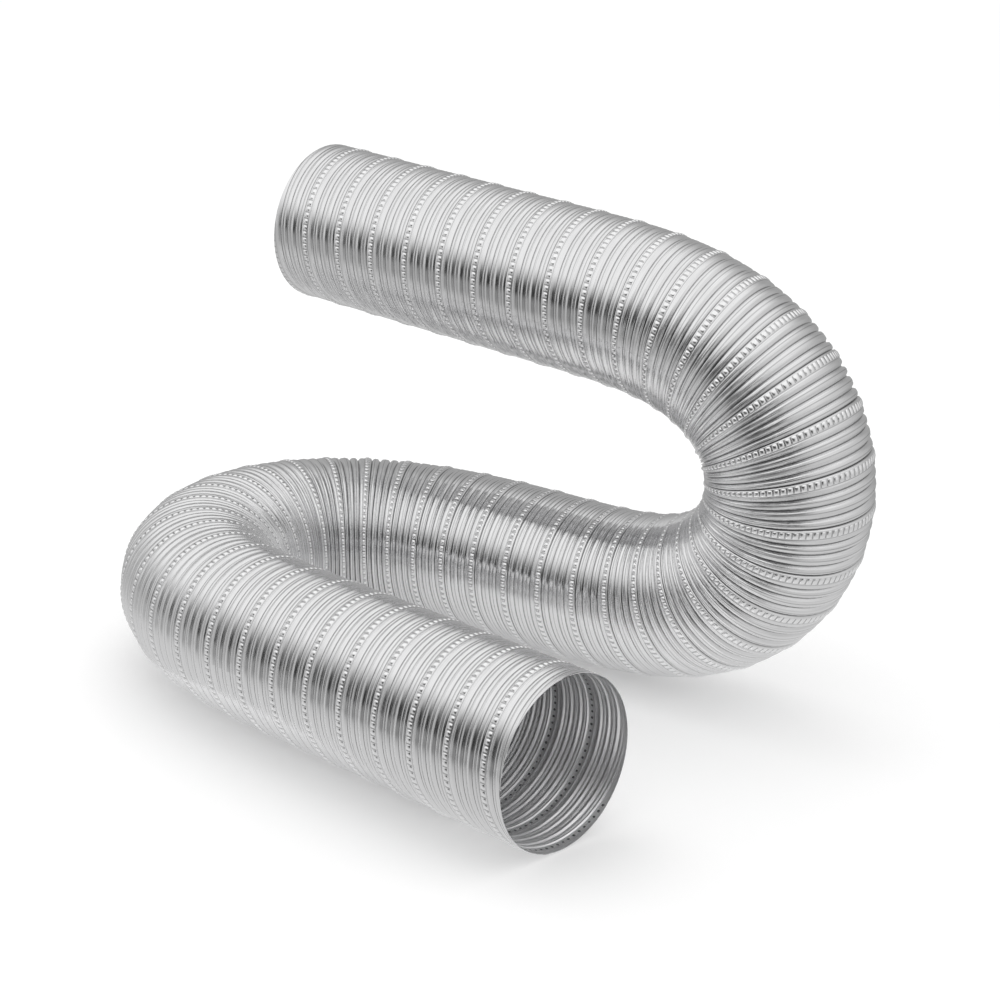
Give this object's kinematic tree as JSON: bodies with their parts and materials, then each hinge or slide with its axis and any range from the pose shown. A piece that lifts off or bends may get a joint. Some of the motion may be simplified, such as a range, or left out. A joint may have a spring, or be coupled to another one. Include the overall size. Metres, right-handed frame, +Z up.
{
  "type": "air duct hose",
  "caption": "Semi-rigid corrugated aluminium duct hose, spirally wound with a lock seam and bent by hand into a free-standing S, open at both ends.",
  "frame": {"origin": "on the floor, under the middle of the bounding box", "axes": "+X out of the front mouth, along the front run and the longest extent; +Y from the front run to the other two runs; +Z up from the floor"},
  "size_m": [0.4568, 0.3552, 0.3152],
  "materials": {
    "foil": "bright mill finish"
  },
  "bodies": {
    "root": {"duct": "foil"}
  },
  "joints": []
}
